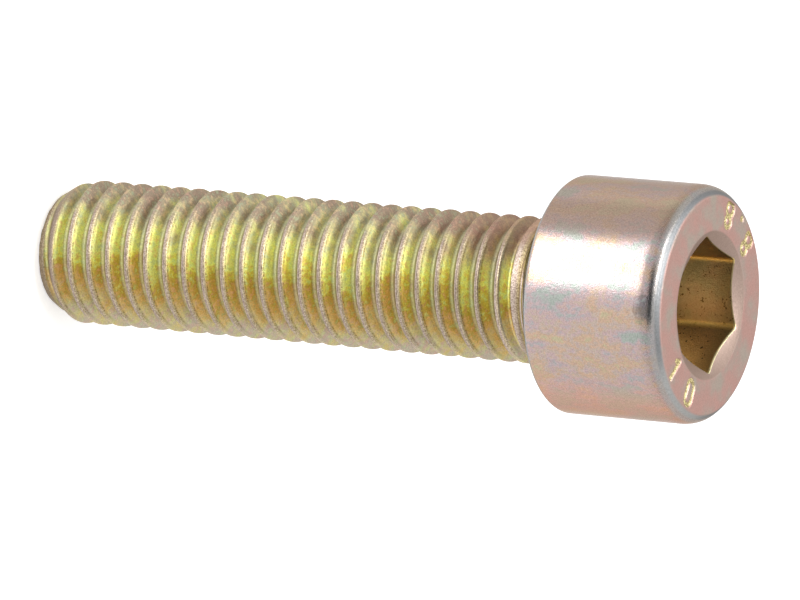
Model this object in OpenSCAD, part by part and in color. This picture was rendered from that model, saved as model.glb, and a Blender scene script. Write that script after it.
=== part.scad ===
// Hex socket head cap screw, 10 mm coarse thread, sold as 40 mm long, which may be 38.8 to 41.2 mm.
// It stands on its point: the point's flat end is at z = 0, the axis is Z and the head is on top.
// The driver socket opens upwards and has two of its six corners on the X axis.

/* [Thread] */
// Nominal outer diameter of the thread
thread_d = 10; // [8:0.5:12]
// Distance from one crest to the next
pitch = 1.5; // [1:0.25:1.75]
// How far the crests stay under the nominal diameter, as a fit needs
crest_allowance = 0.12; // [0:0.02:0.3]
// Length under the head, from the bearing face to the end of the point
shank_len = 39.5; // [25:0.5:45]
// Direction in which the first crest meets the point's end plane
start_angle = 275; // [0:5:355]
// Length over which the groove gets shallower below the neck
runout_len = 2.4; // [1:0.1:4]
// Plain length between the thread's run-out and the head
neck_len = 1.2; // [0.8:0.1:3]
// Radius of the fillet where the neck meets the head
neck_fillet = 0.45; // [0.2:0.05:0.8]

/* [Point] */
// How far the point's end is inside the crests
point_inset = 1; // [0.5:0.05:1.4]
// Length of the point's taper
point_len = 1.7; // [0.8:0.1:2.5]

/* [Head] */
// Diameter of the head
head_d = 16; // [15:0.5:19]
// Height of the head
head_h = 10; // [9:0.5:13]
// Width of the rounded rim on the top face
rim_w = 0.75; // [0.25:0.05:0.95]
// Height of the rounded rim on the side
rim_h = 1.4; // [0.3:0.1:1.6]
// Radius of the edge round the bearing face
base_edge = 0.4; // [0.1:0.1:0.8]

/* [Socket] */
// Size of the hexagon key, across its flats
key_af = 8; // [6:0.5:9]
// How much wider than the key the socket is
key_clearance = 0.06; // [0.02:0.02:0.2]
// Depth of the socket at its corners
socket_depth = 5.2; // [4.2:0.1:6]
// Full angle of the cone at the socket's bottom
bottom_angle = 120; // [110:5:150]
// How far the lead-in at the mouth runs outside the socket's corners
mouth_margin = 0.35; // [0.1:0.05:0.6]
// Slope of the lead-in, down from the top face
mouth_slope = 26; // [15:1:40]

/* [Hidden] */
$fn = 96;
over = 0.5;                                  // how far a cutting shape runs past a face
seat_z = shank_len;                          // the bearing face
top_z = shank_len + head_h;
crest_r = (thread_d - crest_allowance) / 2;
point_r = crest_r - point_inset;
neck_step = 0.04;                            // the neck stands this much outside the run-out
neck_r = crest_r + neck_step;

// The 60 degree thread form: flat crest, straight flanks and a round root
flank_angle = 30;
crest_half = pitch / 16;
root_r = pitch * 0.1443;
root_half = root_r * cos(flank_angle);
groove_h = (pitch / 2 - crest_half - root_half) / tan(flank_angle) + root_r * (1 - sin(flank_angle));
flank_h = groove_h - root_r * (1 - sin(flank_angle));
turn_steps = 36;                             // straight pieces in one turn
form_points = 5;                             // points of the form in one pitch
turns = ceil(seat_z / pitch) + 2;
rows = (turns - 1) * form_points;
first_z = -pitch * (1 + start_angle / 360);  // crest height at angle 0 of the first turn

// Socket
socket_r = (key_af + key_clearance) / 2 / cos(30);
mouth_r = socket_r + mouth_margin;
bottom_cone_h = socket_r / tan(bottom_angle / 2);

screw_colour = [0.78, 0.68, 0.42];

function clamp(x, low, high) = max(low, min(high, x));

// How much shallower the groove is at height z, from 0 on the full thread to groove_h at the neck
function lift(z) = groove_h * clamp((z - (seat_z - neck_len - runout_len)) / runout_len, 0, 1);

// One point of the thread form as [height above the crest's middle, radius below the crest].
// A shallower groove is narrower too, so the flat crest widens as the groove runs out.
function form(m, up) =
    let (edge = min(crest_half + up * tan(flank_angle), (pitch / 2 - root_half) * 0.97))
    m == 0 ? [-edge, 0] :
    m == 1 ? [edge, 0] :
    m == 2 ? [pitch / 2 - root_half, min(0, up - flank_h)] :
    m == 3 ? [pitch / 2, min(0, up - groove_h)] :
             [pitch / 2 + root_half, min(0, up - flank_h)];

// A point of the threaded surface: row k counts upwards, step j counts round the axis
function thread_point(k, j) =
    let (turn = floor(k / form_points),
         angle = 360 * j / turn_steps,
         crest_z = first_z + pitch * (turn + j / turn_steps),
         f = form(k % form_points, lift(crest_z)),
         r = crest_r + f[1])
    [r * cos(angle), r * sin(angle), crest_z + f[0]];

// The same point's number, where one whole step round is one pitch up
function at(k, j) = j < turn_steps ? k * turn_steps + j : (k + form_points) * turn_steps;

// Rolled thread, longer than the screw at both ends
module thread_bar() {
    row_count = rows + form_points + 1;
    points = [for (k = [0 : row_count - 1], j = [0 : turn_steps - 1]) thread_point(k, j)];
    low_end = row_count * turn_steps;
    high_end = low_end + 1;
    low_z = first_z - over;
    high_z = first_z + pitch * turns + over;
    wall = [for (k = [0 : rows - 1], j = [0 : turn_steps - 1])
        each [[at(k, j), at(k + 1, j), at(k + 1, j + 1)], [at(k, j), at(k + 1, j + 1), at(k, j + 1)]]];
    low_round = [for (j = [0 : turn_steps - 1]) [low_end, at(0, j), at(0, j + 1)]];
    low_seam = [for (k = [0 : form_points - 1]) [low_end, at(k + 1, 0), at(k, 0)]];
    high_round = [for (j = [0 : turn_steps - 1]) [high_end, at(rows, j + 1), at(rows, j)]];
    high_seam = [for (k = [rows : rows + form_points - 1]) [high_end, at(k, 0), at(k + 1, 0)]];
    polyhedron(
        points = concat(points, [[0, 0, low_z], [0, 0, high_z]]),
        faces = concat(wall, low_round, low_seam, high_round, high_seam),
        convexity = 10);
}

// What the thread is cut off to: a flat end and a tapered point
module pointed_blank() {
    wide_r = crest_r + over;
    taper = point_inset / point_len;
    rotate_extrude()
        polygon([[0, 0], [point_r, 0], [wide_r, (wide_r - point_r) / taper],
                 [wide_r, seat_z - neck_len / 2], [0, seat_z - neck_len / 2]]);
}

// Plain neck with the fillet that runs out on the bearing face
module neck() {
    steps = 6;
    arc = [for (i = [0 : steps])
        let (a = 90 * i / steps)
        [neck_r + neck_fillet * (1 - cos(a)), seat_z - neck_fillet * (1 - sin(a))]];
    rotate_extrude()
        polygon(concat([[0, seat_z - neck_len], [neck_r, seat_z - neck_len]], arc,
                       [[neck_r + neck_fillet, seat_z + over], [0, seat_z + over]]));
}

// Turned outline of the head, with its rounded rim and base edge
module head() {
    r = head_d / 2;
    steps = 6;
    base = [for (i = [0 : steps])
        let (a = 90 * i / steps)
        [r - base_edge * (1 - sin(a)), seat_z + base_edge * (1 - cos(a))]];
    rim = [for (i = [0 : steps])
        let (a = 90 * i / steps)
        [r - rim_w * (1 - cos(a)), top_z - rim_h * (1 - sin(a))]];
    rotate_extrude()
        polygon(concat([[0, seat_z]], base, rim, [[0, top_z]]));
}

// The space of the driver socket: a hexagon down to the cone, and the lead-in at its mouth
module socket() {
    floor_z = top_z - socket_depth;
    intersection() {
        translate([0, 0, floor_z - bottom_cone_h])
            cylinder(r = socket_r, h = socket_depth + bottom_cone_h + over, $fn = 6);
        rotate_extrude()
            polygon([[0, floor_z - bottom_cone_h], [socket_r, floor_z],
                     [socket_r + over, floor_z], [socket_r + over, top_z + 2 * over],
                     [0, top_z + 2 * over]]);
    }
    rotate_extrude()
        polygon([[0, top_z - mouth_r * tan(mouth_slope)],
                 [mouth_r + over / tan(mouth_slope), top_z + over], [0, top_z + over]]);
}

module cap_screw() {
    color(screw_colour)
        difference() {
            union() {
                intersection() {
                    thread_bar();
                    pointed_blank();
                }
                neck();
                head();
            }
            socket();
        }
}

cap_screw();
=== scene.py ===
import math
import bpy
import bmesh
from mathutils import Matrix, Vector


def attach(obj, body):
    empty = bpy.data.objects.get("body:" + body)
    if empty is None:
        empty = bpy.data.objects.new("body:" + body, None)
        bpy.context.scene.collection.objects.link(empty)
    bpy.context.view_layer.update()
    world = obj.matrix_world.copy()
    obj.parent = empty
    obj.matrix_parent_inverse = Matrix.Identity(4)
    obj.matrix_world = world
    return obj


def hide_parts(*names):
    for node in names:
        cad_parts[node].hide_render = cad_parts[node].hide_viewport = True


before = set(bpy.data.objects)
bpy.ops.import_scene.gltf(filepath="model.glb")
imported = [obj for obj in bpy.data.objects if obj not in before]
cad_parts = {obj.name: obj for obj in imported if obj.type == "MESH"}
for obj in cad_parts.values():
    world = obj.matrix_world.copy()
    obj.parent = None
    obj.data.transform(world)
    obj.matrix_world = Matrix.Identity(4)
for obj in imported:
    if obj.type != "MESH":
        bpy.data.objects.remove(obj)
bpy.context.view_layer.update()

# The screw: a hexagon socket cap screw, made of one length of steel wire. The head and its
# socket are cold forged, the thread is rolled, and the whole is zinc plated and passivated
# yellow. Its mesh is worked out in millimetres and scaled at the end.
seat_z = 39.5                   # the bearing face under the head, above the point's end
head_h = 10.0
top_z = seat_z + head_h
head_r = 8.0

# The rolled thread: a 60 degree form with a flat crest and a round root
pitch = 1.5
crest_r = 4.94
crest_half = 0.12               # half of the crest, which the rolling leaves a little wide
crest_round = 0.12              # and round at its corners
seam_depth = 0.022              # the two sides of the crest meet in a fine seam
seam_half = 0.03
seam_edge = 0.004
root_r = pitch * 0.1443
root_half = root_r * math.cos(math.radians(30))
groove_h = (pitch / 2 - crest_half - root_half) * math.sqrt(3) + root_r / 2
start_angle = 275               # degrees, where the first crest meets the point's end
form_steps = 4                  # on each corner, flank and root
turn_steps = 80
neck_len = 1.2
runout_len = 2.4
point_inset = 1.0
point_len = 1.7


def arc(cx, cz, r, first, last, steps):
    """Points of an arc as (radius, height), between two angles in degrees."""
    return [(cx + r * math.cos(math.radians(first + (last - first) * i / steps)),
             cz + r * math.sin(math.radians(first + (last - first) * i / steps)))
            for i in range(steps + 1)]


def open_line(bm, points):
    """A row of vertices in the XZ plane, joined by edges."""
    verts = [bm.verts.new((r, 0.0, z)) for r, z in points]
    return verts + [bm.edges.new(pair) for pair in zip(verts, verts[1:])]


def thread_line():
    """One pitch of the thread form, from root to root, the crest in the middle."""
    tangent = crest_round * math.tan(math.radians(30))
    corner = arc(crest_r - crest_round, crest_half - tangent, crest_round, 0, 60, form_steps)
    half = [(crest_r - seam_depth, 0.0), (crest_r - seam_edge, seam_half)] + corner
    valley = arc(crest_r - groove_h + root_r, pitch / 2, root_r, 240, 180, form_steps)
    start = half[-1]
    end = valley[0]
    flank = [(start[0] + (end[0] - start[0]) * i / form_steps,
              start[1] + (end[1] - start[1]) * i / form_steps) for i in range(1, form_steps)]
    half += flank + valley
    return [(r, -z) for r, z in reversed(half)] + half[1:]


bm = bmesh.new()
ribbon = open_line(bm, thread_line())
bmesh.ops.spin(bm, geom=ribbon, cent=(0, 0, 0), axis=(0, 0, 1), angle=math.tau,
               dvec=(0, 0, pitch / turn_steps), steps=turn_steps, use_merge=False)
one_turn = bm.verts[:] + bm.edges[:] + bm.faces[:]
turns = math.ceil(seat_z / pitch) + 3
for turn in range(1, turns):
    copy = bmesh.ops.duplicate(bm, geom=one_turn)["geom"]
    bmesh.ops.translate(bm, vec=(0, 0, pitch * turn),
                        verts=[v for v in copy if isinstance(v, bmesh.types.BMVert)])
bmesh.ops.remove_doubles(bm, verts=bm.verts, dist=0.002)
bmesh.ops.translate(bm, vec=(0, 0, -pitch * (1 + start_angle / 360)), verts=bm.verts)

# The groove gets shallower towards the neck, and the point's taper trims the first turn
point_slope = point_len / point_inset
taper_soft = 0.15               # a soft corner where the taper cuts the thread
for v in bm.verts:
    r = math.hypot(v.co.x, v.co.y)
    rise = (v.co.z - (seat_z - neck_len - runout_len)) / runout_len
    rise = min(1.0, max(0.0, rise))
    new_r = min(crest_r, r + groove_h * rise)
    cone = crest_r - point_inset + v.co.z / point_slope
    over = new_r - cone
    if over > taper_soft:
        new_r = cone
    elif over > -taper_soft:
        new_r -= (over + taper_soft) ** 2 / (4 * taper_soft)
    v.co.x *= new_r / r
    v.co.y *= new_r / r

neck_z = seat_z - neck_len
for z, up in ((0.0, 1), (neck_z, -1)):
    bmesh.ops.bisect_plane(bm, geom=bm.verts[:] + bm.edges[:] + bm.faces[:], dist=1e-5,
                           plane_co=(0, 0, z), plane_no=(0, 0, up), clear_inner=True)


def rim_edges(bm, z, near=1e-3):
    """The open edges that lie at one height."""
    return [e for e in bm.edges if e.is_boundary and all(abs(v.co.z - z) < near for v in e.verts)]


# The point's end: a small round edge, then the flat sheared face
end_rings = (3.88, 3.7, 2.6, 1.2)
end_edge_r = 3.9
end_edge_lift = 0.05
ring = rim_edges(bm, 0.0)
for r in end_rings:
    made = bmesh.ops.extrude_edge_only(bm, edges=ring)["geom"]
    for v in (g for g in made if isinstance(g, bmesh.types.BMVert)):
        grow = r / math.hypot(v.co.x, v.co.y)
        v.co = Vector((v.co.x * grow, v.co.y * grow, 0.0))
    ring = [g for g in made if isinstance(g, bmesh.types.BMEdge)]
bmesh.ops.contextual_create(bm, geom=ring)
for v in bm.verts:
    if v.co.z < 1e-4 and math.hypot(v.co.x, v.co.y) > end_edge_r:
        v.co.z = end_edge_lift

# The head: a turned outline from the neck over the side to the face and into the socket
head_steps = 288
join_gap = 0.05                 # between the shank's cut and the head's outline
neck_r = 4.98
fillet_r = 0.45
base_edge = 0.4
side_step = 0.5
rim_h = 1.3
rim_steps = 12
rim_slope = [(7.66, -0.345), (7.57, -0.240), (7.48, -0.155), (7.39, -0.086),
             (7.31, -0.034), (7.26, -0.009), (7.235, -0.002)]
face_outer_r = 7.19
face_inner_r = 5.06
face_rings = 11
outline = [(crest_r + 0.012, -neck_len + join_gap), (neck_r, -0.8), (neck_r, -0.6)]
outline += reversed(arc(neck_r + fillet_r, -fillet_r, fillet_r, 90, 180, 8))
outline += [(r, 0.0) for r in (5.9, 6.5, 7.1, 7.5)]
outline += arc(head_r - base_edge, base_edge, base_edge, -90, 0, 8)
outline += [(head_r, base_edge + side_step * i) for i in range(1, 17)]
outline += [(head_r, head_h - rim_h)]
rim_low = Vector((head_r, -rim_h))
rim_mid = Vector((7.95, -0.62))
rim_high = Vector(rim_slope[0])
for i in range(1, rim_steps):   # the rim's round, between the side and the bevel
    t = i / rim_steps
    point = rim_low * (1 - t) ** 2 + rim_mid * 2 * t * (1 - t) + rim_high * t ** 2
    outline.append((point.x, head_h + point.y))
outline += [(r, head_h + z) for r, z in rim_slope]
outline += [(face_outer_r - (face_outer_r - face_inner_r) * i / face_rings, head_h)
            for i in range(face_rings + 1)]

# The socket: a soft edge at its mouth, the lead-in down to its lip, its wall and its cone
socket_flat = 4.03              # half of the hexagon's width across flats
socket_corner = socket_flat / math.cos(math.radians(30))
mouth_r = 5.0
mouth_slope = math.tan(math.radians(26))
lip = -(mouth_r - socket_corner) * mouth_slope
lip_ring = 0.4                  # the wall's rings follow the lip down to this depth
straight_from = 1.5             # and from this depth on they are level
socket_depth = 5.2
cone_slope = 1 / math.tan(math.radians(60))
outline += [(mouth_r + 0.015, head_h - 0.002), (mouth_r - 0.02, head_h - 0.012)]
for out, rise in ((0.18, 0.18 * mouth_slope), (0.10, 0.10 * mouth_slope), (0.045, 0.002),
                  (0.012, -0.035), (0.0, -0.10)):
    outline.append((socket_corner + out, head_h + lip + rise))
for depth in (lip_ring, 0.8, straight_from, 2.4, 3.3, 4.2, 4.9, socket_depth):
    outline.append((socket_corner, head_h - depth))
for share in (0.85, 0.6, 0.3, 0.08):
    outline.append((socket_corner * share,
                    head_h - socket_depth - socket_corner * (1 - share) * cone_slope))

head = bmesh.new()
line = open_line(head, [(r, seat_z + z) for r, z in outline])
bmesh.ops.spin(head, geom=line, cent=(0, 0, 0), axis=(0, 0, 1), angle=math.tau,
               steps=head_steps, use_merge=True)
bmesh.ops.remove_doubles(head, verts=head.verts, dist=1e-4)


def hexagon(angle):
    """How far the hexagon's wall is from the axis, as a share of its corner's."""
    wall = socket_flat / math.cos(angle % (math.pi / 3) - math.pi / 6)
    soft = 0.12                 # the punch's corners are a little round
    near = max(0.0, 1 - (socket_corner - wall) / soft)
    return (wall - soft * near ** 2 / 2) / socket_corner


# The socket's rings are drawn in from their corners' circle to the hexagon. The lead-in's edge
# is lower in the middle of a flat, which fades out down to where the rings are level.
for v in head.verts:
    r = math.hypot(v.co.x, v.co.y)
    depth = top_z - v.co.z
    if r > socket_corner + 0.1 or depth < 0.01:
        continue
    pull = hexagon(math.atan2(v.co.y, v.co.x))
    short = socket_corner * (1 - pull)
    v.co.x *= pull
    v.co.y *= pull
    if depth < straight_from:
        fade = min(1.0, (straight_from - depth) / (straight_from - lip_ring))
        v.co.z -= short * mouth_slope * fade
    elif depth > socket_depth - 0.01:
        v.co.z -= short * cone_slope * r / socket_corner
floor_ring = [e for e in head.edges if e.is_boundary
              and all(math.hypot(v.co.x, v.co.y) < 1.0 for v in e.verts)]
bmesh.ops.contextual_create(head, geom=floor_ring)

# Stamped strength class 8.8, and a plain 10 for the thread's size on the other side
stamp_depth = 0.12
stamp_half = 0.24               # half of a stroke's width
dot_wider = 1.25                # the dot between the figures is a little bolder
stamp_reach = 1.4               # no stroke is further from its figure's middle
stamp_in_r = 5.1
stamp_out_r = 7.18


def stroke(p, a, b):
    """Distance from p to the straight line between a and b."""
    ab = b - a
    ap = p - a
    t = max(0.0, min(1.0, ap.dot(ab) / max(ab.dot(ab), 1e-9)))
    return (ap - ab * t).length


def figure(p, kind):
    """Distance from p to a figure's strokes; a figure is 1.9 tall about its middle."""
    if kind == "8":
        upper = abs((p - Vector((0, 0.45))).length - 0.38)
        lower = abs((p + Vector((0, 0.42))).length - 0.46)
        return min(upper, lower)
    if kind == "0":
        return abs(stroke(p, Vector((0, 0.38)), Vector((0, -0.38))) - 0.46)
    if kind == "1":
        return min(stroke(p, Vector((0.08, 0.85)), Vector((0.08, -0.85))),
                   stroke(p, Vector((0.08, 0.85)), Vector((-0.28, 0.5))))
    return stroke(p, Vector((0, 0)), Vector((0, 0.02)))


# Each: the figure, its angle round the face, its middle's radius; its foot is towards the rim.
# The face is divided twice round each of the two marks.
stamps = [("8", 151.4, 6.3), (".", 135.3, 6.95), ("8", 119.6, 6.3), ("1", -58.6, 6.25), ("0", -32.0, 6.2)]
for low, high in ((108.0, 163.0), (-67.0, -21.0)):
    for halving in range(2):
        patch = []
        for f in head.faces:
            c = f.calc_center_median()
            angle = math.degrees(math.atan2(c.y, c.x))
            inside = low < angle < high and stamp_in_r < math.hypot(c.x, c.y) < stamp_out_r
            if inside and f.normal.z ** 2 > 0.99 and abs(c.z - top_z) < 1e-3:
                patch += list(f.edges)
        bmesh.ops.subdivide_edges(head, edges=list(set(patch)), cuts=1, use_grid_fill=True)
for v in head.verts:
    r = math.hypot(v.co.x, v.co.y)
    if abs(v.co.z - top_z) > 1e-3 or not stamp_in_r < r < stamp_out_r:
        continue
    sink = 0.0
    for kind, angle, middle in stamps:
        a = math.radians(angle)
        out = Vector((math.cos(a), math.sin(a)))
        along = Vector((-math.sin(a), math.cos(a)))
        d = Vector((v.co.x, v.co.y)) - out * middle
        if d.length > stamp_reach:
            continue
        # read from outside with the foot at the rim: up is inwards, right is clockwise
        gap = figure(Vector((d.dot(along), -d.dot(out))), kind)
        half = stamp_half * (dot_wider if kind == "." else 1.0)
        if gap < half:
            sink = max(sink, stamp_depth * (1 - (gap / half) ** 2))
    v.co.z -= sink

# Join the head to the shank, close the skin and give each region its finish
head_mesh = bpy.data.meshes.new("head_part")
head.to_mesh(head_mesh)
head.free()
bm.from_mesh(head_mesh)
bpy.data.meshes.remove(head_mesh)
neck_ring = rim_edges(bm, neck_z) + rim_edges(bm, neck_z + join_gap)
bmesh.ops.bridge_loops(bm, edges=neck_ring)
bmesh.ops.remove_doubles(bm, verts=bm.verts, dist=1e-4)
bmesh.ops.recalc_face_normals(bm, faces=bm.faces)
head_finish, thread_finish, face_finish, socket_finish = range(4)
fillet_end = neck_r + fillet_r + 0.02
face_edge_r = 7.44              # the face's finish goes a little way down the rim
for f in bm.faces:
    c = f.calc_center_median()
    r = math.hypot(c.x, c.y)
    if c.z < seat_z - 0.02 and r < fillet_end:
        f.material_index = thread_finish
    elif c.z > top_z - 0.3 and mouth_r < r < face_edge_r:
        f.material_index = face_finish
    elif c.z > seat_z + 1 and r < mouth_r:
        lead_in = f.normal.z > 0.7 and c.z > top_z - 1
        f.material_index = face_finish if lead_in else socket_finish
    else:
        f.material_index = head_finish
    f.smooth = True
sharp = math.radians(32)
for e in bm.edges:
    e.smooth = len(e.link_faces) == 2 and e.calc_face_angle(0.0) < sharp
bmesh.ops.scale(bm, vec=(0.001, 0.001, 0.001), verts=bm.verts)
open_left = sum(1 for e in bm.edges if not e.is_manifold)
print("screw: faces", len(bm.faces), "open edges", open_left)


def add_object(name, bm):
    """Puts a finished mesh into the scene, as an object at the origin."""
    mesh = bpy.data.meshes.new(name)
    bm.to_mesh(mesh)
    bm.free()
    made = bpy.data.objects.new(name, mesh)
    bpy.context.scene.collection.objects.link(made)
    return made


screw = add_object("screw", bm)
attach(screw, "root")
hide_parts("cap_screw")


# The plating: a film of yellow passivate over zinc, in pink, straw and grey-green patches. What
# its four finishes share is built once, in node groups.
def new_group(name, inputs, outputs):
    """A node group with named sockets of given kinds: its tree, what comes in, what goes out."""
    tree = bpy.data.node_groups.new(name, "ShaderNodeTree")
    for label, kind in inputs.items():
        tree.interface.new_socket(label, in_out="INPUT", socket_type="NodeSocket" + kind)
    for label, kind in outputs.items():
        tree.interface.new_socket(label, in_out="OUTPUT", socket_type="NodeSocket" + kind)
    return tree, tree.nodes.new("NodeGroupInput").outputs, tree.nodes.new("NodeGroupOutput").inputs


def put(tree, kind, values=None, **settings):
    """A node with its settings, and its sockets set to values or linked."""
    n = tree.nodes.new("ShaderNode" + kind)
    for key, value in settings.items():
        setattr(n, key, value)
    for key, value in (values or {}).items():
        if isinstance(value, bpy.types.NodeSocket):
            tree.links.new(value, n.inputs[key])
        else:
            n.inputs[key].default_value = value
    return n


def maths(tree, operation, *values):
    """The result of one Math node."""
    return put(tree, "Math", dict(enumerate(values)), operation=operation).outputs[0]


def times(tree, a, b):
    """a times b."""
    return maths(tree, "MULTIPLY", a, b)


def times_add(tree, a, b, c):
    """a times b, plus c."""
    return maths(tree, "MULTIPLY_ADD", a, b, c)


def between(tree, share, low, high):
    """From low to high as the share goes from 0 to 1."""
    return put(tree, "MapRange", {"Value": share, "To Min": low, "To Max": high}).outputs["Result"]


def millimetres(tree):
    """Object coordinates in millimetres."""
    place = put(tree, "TexCoord")
    return put(tree, "VectorMath", {0: place.outputs["Object"], 3: 1000.0}, operation="SCALE").outputs[0]


def away_from(tree, point):
    """Distance from a point, in millimetres."""
    n = put(tree, "VectorMath", {0: millimetres(tree), 1: point}, operation="DISTANCE")
    return n.outputs["Value"]


def noise(tree, at, scale, detail, rough):
    """Noise from 0 to 1, its scale per millimetre."""
    return put(tree, "TexNoise", {"Vector": at, "Scale": scale, "Detail": detail, "Roughness": rough},
               normalize=True).outputs["Fac"]


def step_up(tree, value, low, high):
    """0 below low, 1 above high, smooth between; the other way round where high is the lower."""
    return put(tree, "MapRange", {"Value": value, "From Min": low, "From Max": high},
               interpolation_type="SMOOTHSTEP").outputs["Result"]


def blend(tree, share, a, b):
    """Colour a, with a share of colour b over it."""
    return put(tree, "Mix", {0: share, 6: a, 7: b}, data_type="RGBA").outputs[2]


def ramp(tree, value, stops):
    """Colours along a value, as (position, colour)."""
    n = put(tree, "ValToRGB", {"Fac": value})
    bar = n.color_ramp
    bar.interpolation = "B_SPLINE"
    while len(bar.elements) < len(stops):
        bar.elements.new(0.5)
    for element, (position, colour) in zip(bar.elements, stops):
        element.position = position
        element.color = (*colour, 1.0)
    return n.outputs["Color"]


# Cloudy film: broad patches, small flecks, a fine grain, and the tooth of a plated surface
film, _, film_out = new_group("cloudy_film", {}, {"Patches": "Float", "Flecks": "Float",
                                                  "Grain": "Float", "Tooth": "Float"})
at = millimetres(film)
flecks = noise(film, at, 2.6, 3.0, 0.65)
grain = noise(film, at, 9.5, 2.0, 0.6)
film.links.new(noise(film, at, 0.55, 3.0, 0.55), film_out["Patches"])
film.links.new(flecks, film_out["Flecks"])
film.links.new(grain, film_out["Grain"])
film.links.new(maths(film, "ADD", grain, flecks), film_out["Tooth"])

# Place on the screw in millimetres: distance from the axis, height, across, how far under the
# crests' envelope, and how far above the middle of the nearest crest
where, _, where_out = new_group("place_on_screw", {}, {"Radius": "Float", "Height": "Float",
                                                       "Across": "Float", "Under": "Float",
                                                       "Along": "Float"})
x, y, z = put(where, "SeparateXYZ", {0: millimetres(where)}).outputs
flat = put(where, "CombineXYZ", {0: x, 1: y})
radius = put(where, "VectorMath", {0: flat.outputs[0]}, operation="LENGTH").outputs["Value"]
envelope = times_add(where, z, 1 / point_slope, crest_r - point_inset)
envelope = maths(where, "MINIMUM", envelope, crest_r)
climb = times_add(where, maths(where, "ARCTAN2", y, x), -1 / math.tau, start_angle / 360 + 0.5)
climb = maths(where, "FRACT", times_add(where, z, 1 / pitch, climb))
where.links.new(radius, where_out["Radius"])
where.links.new(z, where_out["Height"])
where.links.new(x, where_out["Across"])
where.links.new(maths(where, "SUBTRACT", envelope, radius), where_out["Under"])
where.links.new(times_add(where, climb, pitch, -pitch / 2), where_out["Along"])

# Grain tint: a colour, made darker and lighter by the fine grain
grain_tint, given, tint_out = new_group("grain_tint", {"Colour": "Color", "Grain": "Float", "Depth": "Float"},
                                        {"Colour": "Color"})
grey = put(grain_tint, "MapRange", {"Value": given["Grain"], "From Min": 0.25, "From Max": 0.75,
                                    "To Min": maths(grain_tint, "SUBTRACT", 1.0, given["Depth"]),
                                    "To Max": maths(grain_tint, "ADD", 1.0, given["Depth"])})
tinted = put(grain_tint, "VectorMath", {0: given["Colour"], 3: grey.outputs["Result"]}, operation="SCALE")
grain_tint.links.new(tinted.outputs[0], tint_out["Colour"])

# Edge wear: the film is rubbed off down to dark zinc, lighter round the place that is worn most
worn_most = (5.8, -4.9, top_z - 0.2)
edge_wear, given, wear_out = new_group("edge_wear", {"Colour": "Color", "Worn": "Float"}, {"Colour": "Color"})
bare = step_up(edge_wear, away_from(edge_wear, worn_most), 5.2, 2.2)
zinc = blend(edge_wear, bare, (0.225, 0.23, 0.235, 1), (0.40, 0.40, 0.39, 1))
edge_wear.links.new(blend(edge_wear, given["Worn"], given["Colour"], zinc), wear_out["Colour"])


def new_finish(piece, name, roughness):
    """A new material on a piece: its node tree and its shader."""
    m = bpy.data.materials.new(name)
    m.use_nodes = True
    shader = m.node_tree.nodes["Principled BSDF"]
    shader.inputs["Roughness"].default_value = roughness
    piece.data.materials.append(m)
    return m.node_tree, shader


def plated(name, roughness):
    """A plated finish on the screw, with the film's masks and the place on the screw at hand."""
    tree, shader = new_finish(screw, name, roughness)
    shader.inputs["Metallic"].default_value = 1.0
    shader.inputs["Specular Tint"].default_value = (0.62, 0.58, 0.54, 1)    # a film dulls grazing light
    masks = put(tree, "Group", node_tree=film).outputs
    place = put(tree, "Group", node_tree=where).outputs
    return tree, shader, masks, place


tooth_height = 0.00004          # metres


def grained(tree, shader, masks, colour, depth, tooth):
    """Gives the shader its colour, tinted by the grain, and the tooth of a plated surface."""
    tint = put(tree, "Group", node_tree=grain_tint)
    tint.inputs["Depth"].default_value = depth
    tree.links.new(colour, tint.inputs["Colour"])
    tree.links.new(masks["Grain"], tint.inputs["Grain"])
    tree.links.new(tint.outputs["Colour"], shader.inputs["Base Color"])
    bump = put(tree, "Bump", {"Strength": tooth, "Distance": tooth_height, "Height": masks["Tooth"]})
    tree.links.new(bump.outputs[0], shader.inputs["Normal"])


# Side of the head: pink, lilac, straw and grey-green clouds, drawn out along the axis by the
# forging, and worn to bluish zinc on the edges
tree, shader, masks, place = plated("plated_head", 0.25)
drawn = put(tree, "Mapping", {"Vector": millimetres(tree), "Scale": (1.0, 1.0, 0.5)}).outputs[0]
mixed = times_add(tree, masks["Flecks"], 0.3, noise(tree, drawn, 0.5, 4.0, 0.6))
mixed = maths(tree, "DIVIDE", mixed, 1.3)
colour = ramp(tree, mixed, [(0.40, (0.28, 0.32, 0.28)), (0.45, (0.35, 0.30, 0.32)),
                            (0.49, (0.43, 0.29, 0.27)), (0.52, (0.36, 0.33, 0.28)),
                            (0.56, (0.46, 0.28, 0.21)), (0.61, (0.38, 0.35, 0.23))])
# The film is browner on one side of the head, most so in a streak, and more orange on the other
brown_side = times(tree, step_up(tree, place["Across"], -4.9, -6.2), 0.5)
colour = blend(tree, brown_side, colour, (0.27, 0.19, 0.15, 1))
streak = times(tree, step_up(tree, place["Across"], -7.5, -6.9),
               step_up(tree, place["Across"], -5.0, -5.9))
streak = times(tree, streak, 0.45)
colour = blend(tree, streak, colour, (0.18, 0.125, 0.095, 1))
orange_side = times(tree, step_up(tree, place["Across"], 3.4, 6.0), 0.5)
colour = blend(tree, orange_side, colour, (0.58, 0.28, 0.17, 1))
# One dark spot just under the rim is a painted reflection of the unlit side of the room
dark_reflection_at = (-1.3, -7.85, top_z - 0.6)
painted_dark_reflection = times_add(tree, masks["Flecks"], -1.8, away_from(tree, dark_reflection_at))
painted_dark_reflection = times(tree, step_up(tree, painted_dark_reflection, 0.45, -0.35), 0.65)
colour = blend(tree, painted_dark_reflection, colour, (0.07, 0.08, 0.09, 1))
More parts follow.
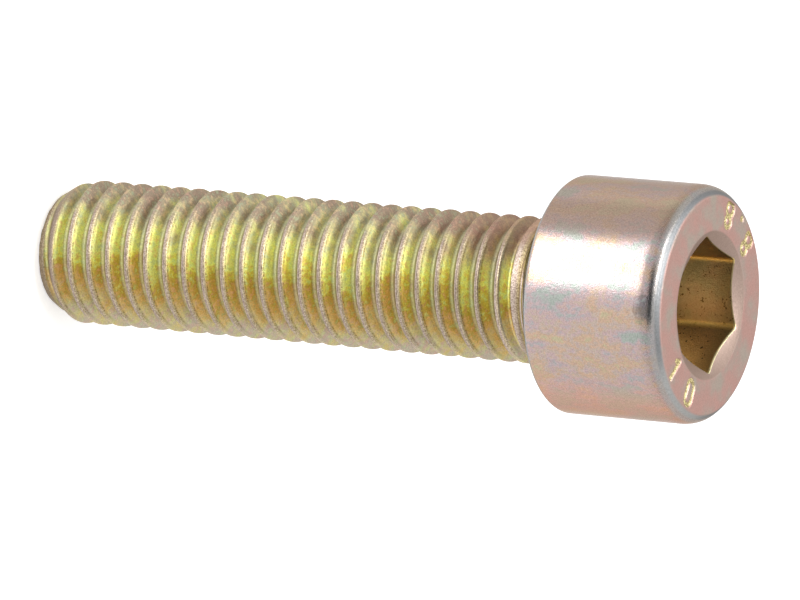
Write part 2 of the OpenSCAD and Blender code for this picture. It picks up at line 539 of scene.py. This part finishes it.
# The film thins out under the rim, and it is worn off on the rim and on the base's edge
greyer = times(tree, step_up(tree, place["Height"], top_z - 0.80, top_z - 0.45), 0.65)
colour = blend(tree, greyer, colour, (0.38, 0.385, 0.38, 1))
worn = step_up(tree, place["Height"], top_z - 0.40, top_z - 0.22)
colour = put(tree, "Group", {"Colour": colour, "Worn": worn}, node_tree=edge_wear).outputs["Colour"]
tree.links.new(between(tree, worn, 0.25, 0.45), shader.inputs["Roughness"])
base = step_up(tree, place["Height"], seat_z + 0.35, seat_z + 0.1)
colour = blend(tree, base, colour, (0.30, 0.33, 0.35, 1))
grained(tree, shader, masks, colour, 0.2, 0.22)

# Thread: golden flanks that change round the shank; their bright mint band, a little to the lamps' side of
# the middle, is partly a painted highlight
tree, shader, masks, place = plated("plated_thread", 0.33)
lit_film_zone = put(tree, "MapRange", {"Value": place["Across"], "From Min": -5.0, "From Max": 5.0}).outputs["Result"]
lit_film_zone = times_add(tree, masks["Patches"], 0.9, lit_film_zone)
lit_film_zone = times_add(tree, masks["Flecks"], 0.6, lit_film_zone)
lit_film_zone = maths(tree, "SUBTRACT", lit_film_zone, 0.75)
flank_stops_lit = [(0.02, (0.35, 0.27, 0.20)), (0.14, (0.50, 0.46, 0.27)), (0.26, (0.66, 0.67, 0.28)),
               (0.37, (0.74, 0.79, 0.29)), (0.47, (0.67, 0.59, 0.12)), (0.57, (0.49, 0.37, 0.08)),
               (0.69, (0.74, 0.48, 0.19)), (0.81, (0.64, 0.58, 0.26)), (0.96, (0.56, 0.48, 0.38))]
colour = ramp(tree, lit_film_zone, flank_stops_lit)
pinker = times(tree, step_up(tree, masks["Flecks"], 0.52, 0.64), 0.4)
colour = blend(tree, pinker, colour, (0.68, 0.40, 0.30, 1))
greener = times(tree, step_up(tree, masks["Flecks"], 0.47, 0.35), 0.35)
colour = blend(tree, greener, colour, (0.48, 0.66, 0.40, 1))
# Near the head the film is red-brown on one side
reddish = times(tree, step_up(tree, place["Height"], seat_z - 13.0, seat_z - 4.0),
                step_up(tree, place["Across"], -1.2, -4.2))
reddish = times(tree, reddish, 0.65)
colour = blend(tree, reddish, colour, (0.36, 0.20, 0.15, 1))
# The root is painted duller and darker, as painted shade in the groove, and it is more matt
root_shade_and_matt = step_up(tree, place["Under"], 0.70, 0.86)
colour = blend(tree, times(tree, root_shade_and_matt, 0.55), colour, (0.40, 0.40, 0.27, 1))
# The crests' pale wear and the painted dark line beside them fade out on both sides of the screw; that the
# crests are pale only in the middle is partly a painted sheen
wear_and_sheen_fade = step_up(tree, maths(tree, "ABSOLUTE", place["Across"]), 4.6, 3.2)
# Painted shade: the flank under each crest is greyer and darker, and a dark line lies along the crest's upper
# edge
shaded_underside = times(tree, step_up(tree, place["Along"], -0.24, -0.36), 0.35)
colour = blend(tree, shaded_underside, colour, (0.30, 0.24, 0.16, 1))
painted_dark_line = times(tree, step_up(tree, place["Along"], 0.16, 0.20), step_up(tree, place["Along"], 0.28, 0.22))
painted_dark_line = times(tree, painted_dark_line, step_up(tree, masks["Grain"], 0.35, 0.65))
painted_dark_line = times(tree, painted_dark_line, wear_and_sheen_fade)
colour = blend(tree, painted_dark_line, colour, (0.19, 0.14, 0.06, 1))
# The crests are worn to pinkish silver, and so is the taper, where the thread is cut off
crest = times(tree, step_up(tree, place["Along"], -0.21, -0.15), step_up(tree, place["Along"], 0.20, 0.16))
crest = maths(tree, "MAXIMUM", crest, step_up(tree, place["Under"], 0.12, 0.05))
crest = times(tree, crest, wear_and_sheen_fade)
crest_colour = ramp(tree, masks["Grain"], [(0.36, (0.29, 0.215, 0.18)), (0.50, (0.38, 0.30, 0.25)),
                                           (0.64, (0.46, 0.385, 0.325))])
# The crest's upper half is more golden and lighter, partly the film's colour and partly a painted highlight
crest_top_gold_and_highlight = ramp(tree, masks["Grain"], [(0.36, (0.28, 0.21, 0.13)), (0.50, (0.40, 0.32, 0.21)),
                                          (0.64, (0.56, 0.47, 0.32))])
crest_colour = blend(tree, step_up(tree, place["Along"], 0.02, 0.10), crest_colour, crest_top_gold_and_highlight)
colour = blend(tree, crest, colour, crest_colour)
# The point is darker towards its end
darker_point = times(tree, step_up(tree, place["Height"], 2.2, 1.0), 0.35)
colour = blend(tree, darker_point, colour, (0.20, 0.15, 0.12, 1))
smoother = between(tree, crest, 0.46, 0.32)
tree.links.new(times_add(tree, root_shade_and_matt, 0.16, smoother), shader.inputs["Roughness"])
# The neck keeps the fine rings of the die, painted dark, partly as painted shade under the head
rings = put(tree, "Mapping", {"Vector": millimetres(tree), "Scale": (0.12, 0.12, 5.0)}).outputs[0]
shaded_ring_colour = ramp(tree, noise(tree, rings, 1.0, 2.0, 0.6),
                   [(0.41, (0.08, 0.045, 0.03)), (0.46, (0.36, 0.28, 0.09)),
                    (0.51, (0.10, 0.06, 0.045)), (0.57, (0.50, 0.40, 0.35))])
shaded_neck = step_up(tree, place["Height"], seat_z - 2.3, seat_z - 1.6)
colour = blend(tree, shaded_neck, colour, shaded_ring_colour)
grained(tree, shader, masks, colour, 0.22, 0.7)

# Face: matt pink with faint grey-green clouds, and painted darker in the socket's lead-in as painted shade
tree, shader, masks, place = plated("plated_face", 0.5)
colour = ramp(tree, masks["Patches"], [(0.34, (0.44, 0.385, 0.33)), (0.46, (0.505, 0.34, 0.30)),
                                       (0.60, (0.53, 0.325, 0.285))])
lead_in_shade = step_up(tree, place["Radius"], mouth_r + 0.03, mouth_r - 0.1)
colour = blend(tree, lead_in_shade, colour, (0.38, 0.28, 0.235, 1))
# Its outer edge is worn to the same bluish zinc as the rim
outer = step_up(tree, place["Radius"], face_edge_r - 0.2, face_edge_r - 0.02)
colour = put(tree, "Group", {"Colour": colour, "Worn": outer}, node_tree=edge_wear).outputs["Colour"]
# Gold film stays in the stamped figures; its bright flecks are partly painted glints
gold = times(tree, step_up(tree, place["Height"], top_z - 0.03, top_z - 0.09),
             step_up(tree, place["Radius"], mouth_r + 0.03, mouth_r + 0.08))
gold = times(tree, gold, step_up(tree, place["Radius"], stamp_out_r + 0.04, stamp_out_r - 0.02))
gold_flecks_and_glints = step_up(tree, masks["Grain"], 0.40, 0.60)
gold_and_glint_colour = blend(tree, gold_flecks_and_glints, (0.34, 0.27, 0.14, 1), (0.82, 0.72, 0.38, 1))
colour = blend(tree, gold, colour, gold_and_glint_colour)
grained(tree, shader, masks, colour, 0.12, 0.4)

# Socket: golden brown, darker towards the mouth, brighter in the corners and with dark pits, and
# painted brighter on one side as painted light
tree, shader, masks, place = plated("plated_socket", 0.38)
colour = ramp(tree, masks["Patches"], [(0.34, (0.35, 0.32, 0.195)), (0.50, (0.42, 0.345, 0.21)),
                                       (0.66, (0.47, 0.335, 0.21))])
painted_lit_side = step_up(tree, place["Across"], 1.6, 3.2)
colour = blend(tree, painted_lit_side, colour, (0.80, 0.54, 0.25, 1))
mouth = times(tree, step_up(tree, place["Height"], top_z - 2.2, top_z - 0.3), 0.6)
colour = blend(tree, mouth, colour, (0.22, 0.17, 0.06, 1))
pit = step_up(tree, noise(tree, millimetres(tree), 4.6, 1.0, 0.5), 0.65, 0.70)
pit = times(tree, pit, step_up(tree, masks["Patches"], 0.46, 0.54))
colour = blend(tree, pit, colour, (0.13, 0.10, 0.05, 1))
corner = times(tree, step_up(tree, place["Radius"], 4.48, 4.60), 0.55)
colour = blend(tree, corner, colour, (0.95, 0.72, 0.26, 1))
# A painted highlight: the lip is bright gold along its edge on one side of the socket
cone_at = times_add(tree, place["Radius"], mouth_slope, top_z - mouth_r * mouth_slope)
below = maths(tree, "SUBTRACT", cone_at, place["Height"])
painted_lip_highlight = times(tree, step_up(tree, below, 0.19, 0.11), step_up(tree, place["Across"], 1.9, 2.6))
colour = blend(tree, painted_lip_highlight, colour, (0.98, 0.90, 0.55, 1))
grained(tree, shader, masks, colour, 0.15, 0.6)

# The floor: a plain pale table top, flat and matt, on which the screw stands on its point. It
# keeps the screw's shadow. What the camera and reflections see of it is lifted towards white.
floor_r = 4.0                   # metres
floor_gap = 0.00005
floor_glow = 0.5
bm = bmesh.new()
bmesh.ops.create_circle(bm, cap_ends=True, segments=96, radius=floor_r)
bmesh.ops.translate(bm, vec=(0, 0, -floor_gap), verts=bm.verts)
floor = add_object("floor", bm)
pale, shader = new_finish(floor, "pale_table", 0.8)
shader.inputs["Base Color"].default_value = (0.86, 0.86, 0.86, 1)
shader.inputs["Specular IOR Level"].default_value = 0.2
shader.inputs["Emission Color"].default_value = (1, 1, 1, 1)


def seen_directly(tree):
    """1 for camera, glossy and transmission rays, and 0 for the others."""
    seen = put(tree, "LightPath").outputs
    direct = maths(tree, "MAXIMUM", seen["Is Camera Ray"], seen["Is Glossy Ray"])
    return maths(tree, "MAXIMUM", direct, seen["Is Transmission Ray"])


pale.links.new(times(pale, seen_directly(pale), floor_glow), shader.inputs["Emission Strength"])

# The light: a white room with three soft boxes, cloth panels with lamps inside. One hangs
# overhead and a little to the side, so that its light gets past the head to the shank, one
# hangs high at the same side, and one stands low in front.
room_level = 0.75
room = bpy.data.worlds.new("room")
bpy.context.scene.world = room
room.use_nodes = True
tree = room.node_tree
tree.nodes.clear()
room_light = put(tree, "Background", {"Color": (1, 1, 1, 1), "Strength": room_level})
room_white = put(tree, "Background", {"Color": (1, 1, 1, 1), "Strength": 1.0})
shade = put(tree, "MixShader", {0: seen_directly(tree), 1: room_light.outputs[0], 2: room_white.outputs[0]})
put(tree, "OutputWorld", {"Surface": shade.outputs[0]})


def soft_box(name, place, target, width, height, power):
    """A flat soft box that shines from its place at its target; millimetres and watts."""
    light = bpy.data.lights.new(name, "AREA")
    light.shape = "RECTANGLE"
    light.size = width * 0.001
    light.size_y = height * 0.001
    light.energy = power
    lamp = bpy.data.objects.new(name, light)
    lamp.location = Vector(place) * 0.001
    toward = Vector(target) - Vector(place)
    lamp.rotation_euler = toward.to_track_quat("-Z", "Y").to_euler()
    lamp.visible_camera = False
    bpy.context.scene.collection.objects.link(lamp)


soft_box("box_overhead", (-55, -32, 183), (0, -4, 22), 60, 50, 0.125)
soft_box("box_side", (-124, 24, 196), (0, 0, 42), 150, 36, 0.085)
soft_box("box_front", (-40, -45, 13), (0, -4, 45), 45, 15, 0.0115)

# The dark wall: the unlit side of the room, where the camera stands. A matt dark panel in
# front of the screw stands for it, and only reflections show it.
wall_size = (0.34, 0.2)         # metres
wall_place = (-0.12, -0.3, 0.215)
bm = bmesh.new()
bmesh.ops.create_grid(bm, x_segments=1, y_segments=1, size=0.5)
bmesh.ops.scale(bm, vec=(*wall_size, 1), verts=bm.verts)
bmesh.ops.rotate(bm, cent=(0, 0, 0), matrix=Matrix.Rotation(math.radians(90), 3, "X"), verts=bm.verts)
bmesh.ops.translate(bm, vec=wall_place, verts=bm.verts)
dark_side = add_object("dark_side", bm)
_, shader = new_finish(dark_side, "dark_wall", 0.9)
shader.inputs["Base Color"].default_value = (0.03, 0.035, 0.045, 1)
dark_side.visible_camera = False
dark_side.visible_diffuse = False
dark_side.visible_shadow = False

# The camera: a long lens turned on its side, so that the standing screw lies across the
# picture. Its lens, place and turn come from the fit to the photo.
right = Vector((0.023787, 0.479062, 0.877459))
up = Vector((-0.978587, 0.190660, -0.077565))
camera_place = Vector((-121.449, -515.225, 310.631)) * 0.001
view = bpy.data.cameras.new("camera")
view.sensor_width = 36.0
view.lens = 400.71
view.clip_start = 0.01
view.clip_end = 50.0
camera = bpy.data.objects.new("camera", view)
turn = Matrix((right, up, right.cross(up))).transposed().to_4x4()
camera.matrix_world = Matrix.Translation(camera_place) @ turn
bpy.context.scene.collection.objects.link(camera)
bpy.context.scene.camera = camera
bpy.context.scene.view_settings.view_transform = "Standard"
